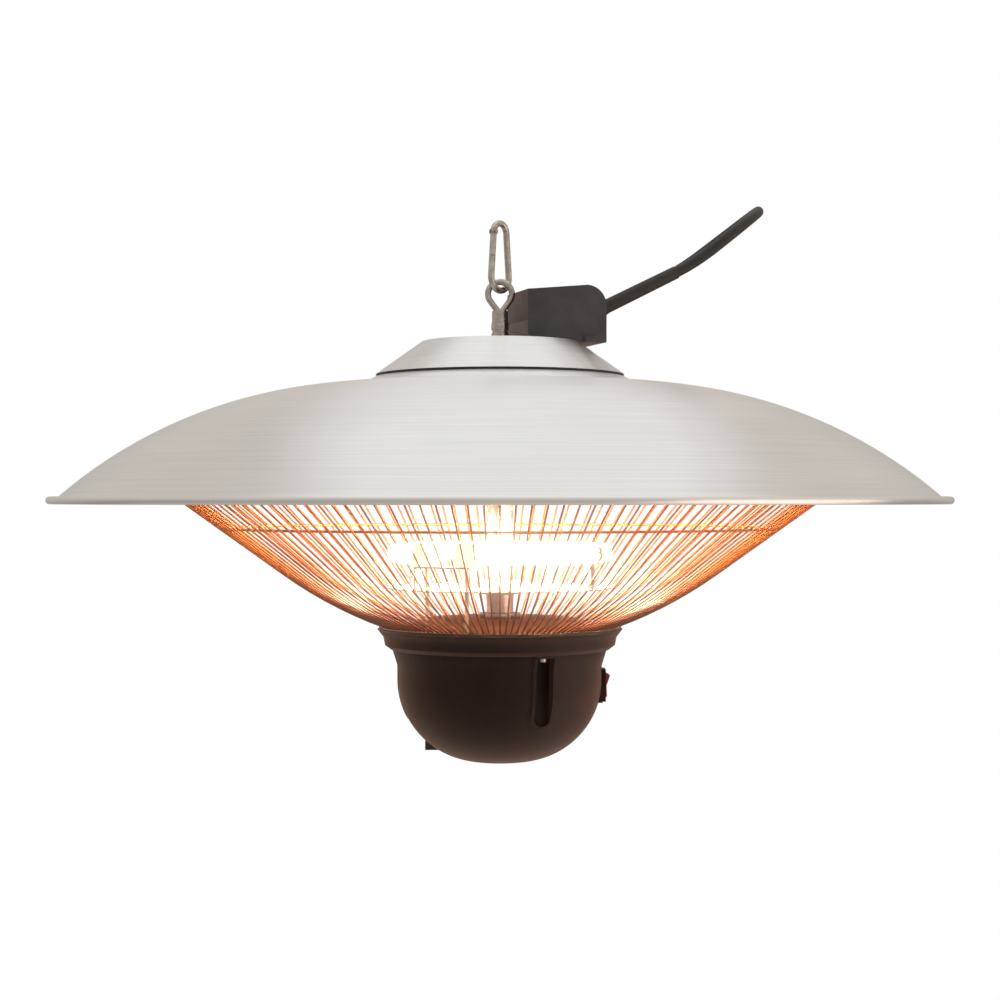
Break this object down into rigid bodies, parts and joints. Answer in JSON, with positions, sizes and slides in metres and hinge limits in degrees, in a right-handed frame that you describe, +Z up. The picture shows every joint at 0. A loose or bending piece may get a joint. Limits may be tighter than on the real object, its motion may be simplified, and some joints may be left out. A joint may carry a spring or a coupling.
{
  "type": "hanging patio heater",
  "caption": "Hanging electric patio heater: a wide brushed shade over a caged ring lamp and a rounded switch bowl, hung by a snap hook.",
  "frame": {"origin": "the hanging point: the inside of the snap hook's upper bend", "axes": "+Z up along the heater's axis, +X to the switch's side, +Y to the back where the cord lies"},
  "size_m": [0.6, 0.6, 0.3895],
  "materials": {
    "zinc_plated_steel": "zinc plated, satin",
    "brushed_aluminium": "spun and brushed, satin",
    "polished_aluminium": "polished",
    "steel": "bright zinc",
    "bronze_wire": "bronze lacquer, satin",
    "black_steel": "black lacquer, satin",
    "lamp_glass": "clear quartz",
    "tungsten": "glowing",
    "ceramic": "unglazed steatite",
    "silicone_lead": "silicone",
    "black_plastic": "moulded, fine grain",
    "rocker_plastic": "translucent red",
    "receiver_plastic": "dark infrared window",
    "brass": "nickelled or plain",
    "circuit_board": "solder mask",
    "relay_plastic": "moulded",
    "terminal_plastic": "moulded",
    "black_rubber": "matt",
    "tie_plastic": "hook and loop strap"
  },
  "bodies": {
    "snap_hook": {"snap_hook_body": "zinc_plated_steel", "gate_rivet": "zinc_plated_steel"},
    "gate": {"snap_hook_gate": "zinc_plated_steel"},
    "heater": {"eye_bolt": "zinc_plated_steel", "eye_flat_washer": "zinc_plated_steel", "eye_nuts": "zinc_plated_steel", "eye_spring_washer": "zinc_plated_steel", "top_cap": "brushed_aluminium", "cap_seal": "black_rubber", "cap_plate": "brushed_aluminium", "shade": "brushed_aluminium", "column_tube": "steel", "column_plug": "steel", "column_nuts": "steel", "reflector": "polished_aluminium", "grille_top_ring": "bronze_wire", "grille_screws": "zinc_plated_steel", "grille_bottom_ring": "black_steel", "grille_wires": "bronze_wire", "grille_hoop": "bronze_wire", "lamp_tube": "lamp_glass", "lamp_filament": "tungsten", "lamp_end_caps": "ceramic", "lamp_leads": "silicone_lead", "lamp_bracket": "steel", "lamp_clips": "steel", "lower_plate": "steel", "bowl_cover": "black_plastic", "bowl": "black_plastic", "bowl_screws": "zinc_plated_steel", "receiver_window": "receiver_plastic", "switch_housing": "black_plastic", "switch_terminals": "brass", "switch_wires": "silicone_lead", "control_board": "circuit_board", "board_standoffs": "brass", "board_screws": "zinc_plated_steel", "board_relay": "relay_plastic", "box_base": "black_plastic", "box_lid": "black_plastic", "box_lid_screws": "zinc_plated_steel", "box_mount_screws": "zinc_plated_steel", "box_mount_nuts": "zinc_plated_steel", "terminal_block": "terminal_plastic", "cable_grommet": "silicone_lead", "inner_cable": "silicone_lead", "cord_gland": "black_plastic", "cord_boot": "black_rubber", "cord_lead": "black_rubber", "cord_coil": "black_rubber", "cord_tie": "tie_plastic", "cord_tail": "black_rubber", "plug_body": "black_rubber", "plug_pins": "brass"},
    "rocker": {"rocker_button": "rocker_plastic"}
  },
  "joints": [
    {"name": "heater_swing", "type": "hinge", "parent": "snap_hook", "child": "heater", "pos_m": [0, 0, -0.0434], "axis": [0, 1, 0], "range_deg": [-25, 25]},
    {"name": "gate_open", "type": "hinge", "parent": "snap_hook", "child": "gate", "pos_m": [-0.00429, -0.00511, -0.00394], "axis": [0.766, -0.6428, 0], "range_deg": [0, 28], "stiffness_Nm_per_rad": 0.02, "springref_deg": -20.05},
    {"name": "rocker_tip", "type": "hinge", "parent": "heater", "child": "rocker", "pos_m": [0.0692, 0, -0.31075], "axis": [0, -1, 0], "range_deg": [0, 16]}
  ]
}
